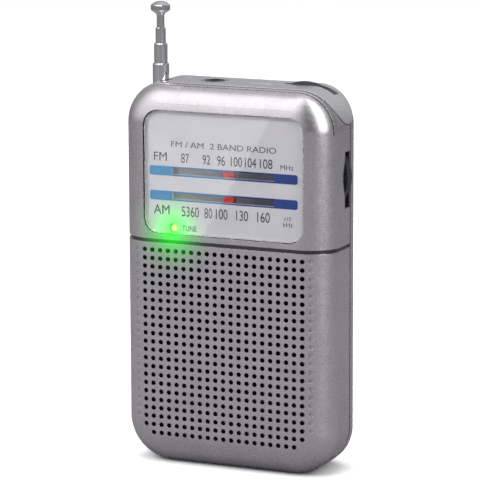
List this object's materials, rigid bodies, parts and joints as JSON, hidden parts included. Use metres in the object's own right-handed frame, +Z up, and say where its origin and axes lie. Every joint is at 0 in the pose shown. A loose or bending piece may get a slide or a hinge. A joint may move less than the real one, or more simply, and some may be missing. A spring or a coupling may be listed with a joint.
{
  "type": "transistor pocket radio",
  "caption": "Upright two-band pocket radio in a silver case with a dial window, speaker holes, edge wheels, earphone socket and telescopic antenna.",
  "frame": {"origin": "centre of the flat underside the radio stands on", "axes": "+X to the radio's right seen from the front, +Y towards its back, +Z up"},
  "size_m": [0.0712, 0.0264, 0.1419],
  "materials": {
    "silver_paint": "satin silver-grey lacquer on moulded plastic",
    "light_silver_paint": "satin light silver lacquer on moulded plastic",
    "clear_lens": "clear gloss acrylic",
    "dial_silver": "fine silver print",
    "dial_blue": "printed blue",
    "dial_backing": "pale grey",
    "steel": "plated",
    "pointer_red": "bright red",
    "white_plastic": "moulded",
    "cream_plastic": "moulded",
    "black_plastic": "moulded",
    "grey_plastic": "moulded",
    "brown_laminate": "laminate",
    "green_lamp": "tinted, lit",
    "board_green": "lacquered",
    "blue_sleeve": "sleeve",
    "ferrite": "sintered",
    "copper_wire": "enamelled",
    "black_cloth": "woven",
    "black_rubber": "soft",
    "paper_cone": "pressed paper",
    "chrome": "polished",
    "brass": "turned",
    "cell_jacket": "printed jacket"
  },
  "bodies": {
    "case": {"front_shell": "silver_paint", "back_shell": "silver_paint", "top_panel": "light_silver_paint", "dial_lens": "clear_lens", "dial_plate": "dial_silver", "scale_bars": "dial_blue", "dial_backing": "dial_backing", "pointer_rail": "steel", "tuning_capacitor": "cream_plastic", "tuning_post": "steel", "tuning_clip": "steel", "volume_control": "brown_laminate", "earphone_jack": "black_plastic", "jack_ring": "grey_plastic", "jack_tags": "steel", "tuning_led": "green_lamp", "led_leads": "steel", "band_switch": "steel", "circuit_board": "board_green", "coil_cans": "steel", "radio_chip": "black_plastic", "amplifier_chip": "black_plastic", "electrolytics": "blue_sleeve", "ferrite_rod": "ferrite", "antenna_coil": "copper_wire", "rod_holders": "white_plastic", "speaker_cloth": "black_cloth", "speaker_gasket": "black_rubber", "speaker_frame": "steel", "speaker_cone": "paper_cone", "speaker_dust_cap": "paper_cone", "voice_coil": "copper_wire", "speaker_magnet": "ferrite", "speaker_yoke": "steel", "speaker_leads": "black_rubber", "antenna_bracket": "white_plastic", "battery_upper": "cell_jacket", "battery_lower": "cell_jacket", "battery_contacts": "steel", "battery_springs": "steel", "case_screws": "steel", "board_screws": "steel"},
    "tuning_knob": {"tuning_wheel": "black_plastic", "tuning_pinion": "white_plastic"},
    "tuning_rotor": {"drive_gear": "white_plastic", "tuning_shaft": "steel"},
    "pointer": {"dial_pointer": "pointer_red", "pointer_rack": "white_plastic"},
    "volume_knob": {"volume_wheel": "black_plastic", "volume_screw": "steel"},
    "band_knob": {"band_slider": "black_plastic"},
    "door": {"battery_door": "silver_paint"},
    "antenna_stage_1": {"antenna_tube_1": "chrome", "antenna_foot": "brass"},
    "antenna_stage_2": {"antenna_tube_2": "chrome"},
    "antenna_stage_3": {"antenna_tube_3": "chrome"},
    "antenna_stage_4": {"antenna_rod": "chrome", "antenna_knob": "chrome"}
  },
  "joints": [
    {"name": "tuning_turn", "type": "hinge", "parent": "case", "child": "tuning_knob", "pos_m": [0.0235, 0.00145, 0.0912], "axis": [0, 1, 0], "range_deg": [-152.17, 162.79]},
    {"name": "capacitor_turn", "type": "hinge", "parent": "case", "child": "tuning_rotor", "pos_m": [0.0015, -0.00525, 0.0912], "axis": [0, 1, 0], "range_deg": [-93.52, 87.45]},
    {"name": "pointer_slide", "type": "slide", "parent": "case", "child": "pointer", "axis": [1, 0, 0], "range_m": [-0.0139, 0.013]},
    {"name": "volume_turn", "type": "hinge", "parent": "case", "child": "volume_knob", "pos_m": [0.0192, 0.00505, 0.1063], "axis": [0, 1, 0], "range_deg": [-140, 140]},
    {"name": "band_slide", "type": "slide", "parent": "case", "child": "band_knob", "axis": [0, 0, -1], "range_m": [0, 0.0035]},
    {"name": "door_slide", "type": "slide", "parent": "case", "child": "door", "axis": [0, 0, -1], "range_m": [0, 0.038]},
    {"name": "antenna_lift_1", "type": "slide", "parent": "case", "child": "antenna_stage_1", "axis": [0, 0, 1], "range_m": [-0.006, 0.045]},
    {"name": "antenna_lift_2", "type": "slide", "parent": "antenna_stage_1", "child": "antenna_stage_2", "axis": [0, 0, 1], "range_m": [-0.0055, 0.055]},
    {"name": "antenna_lift_3", "type": "slide", "parent": "antenna_stage_2", "child": "antenna_stage_3", "axis": [0, 0, 1], "range_m": [-0.0042, 0.055]},
    {"name": "antenna_lift_4", "type": "slide", "parent": "antenna_stage_3", "child": "antenna_stage_4", "axis": [0, 0, 1], "range_m": [-0.0033, 0.055]}
  ],
  "couplings": [
    {"joint": "capacitor_turn", "follows": "tuning_turn", "ratio": -0.57143},
    {"joint": "pointer_slide", "follows": "tuning_turn", "m_per_rad": -0.0048571}
  ]
}
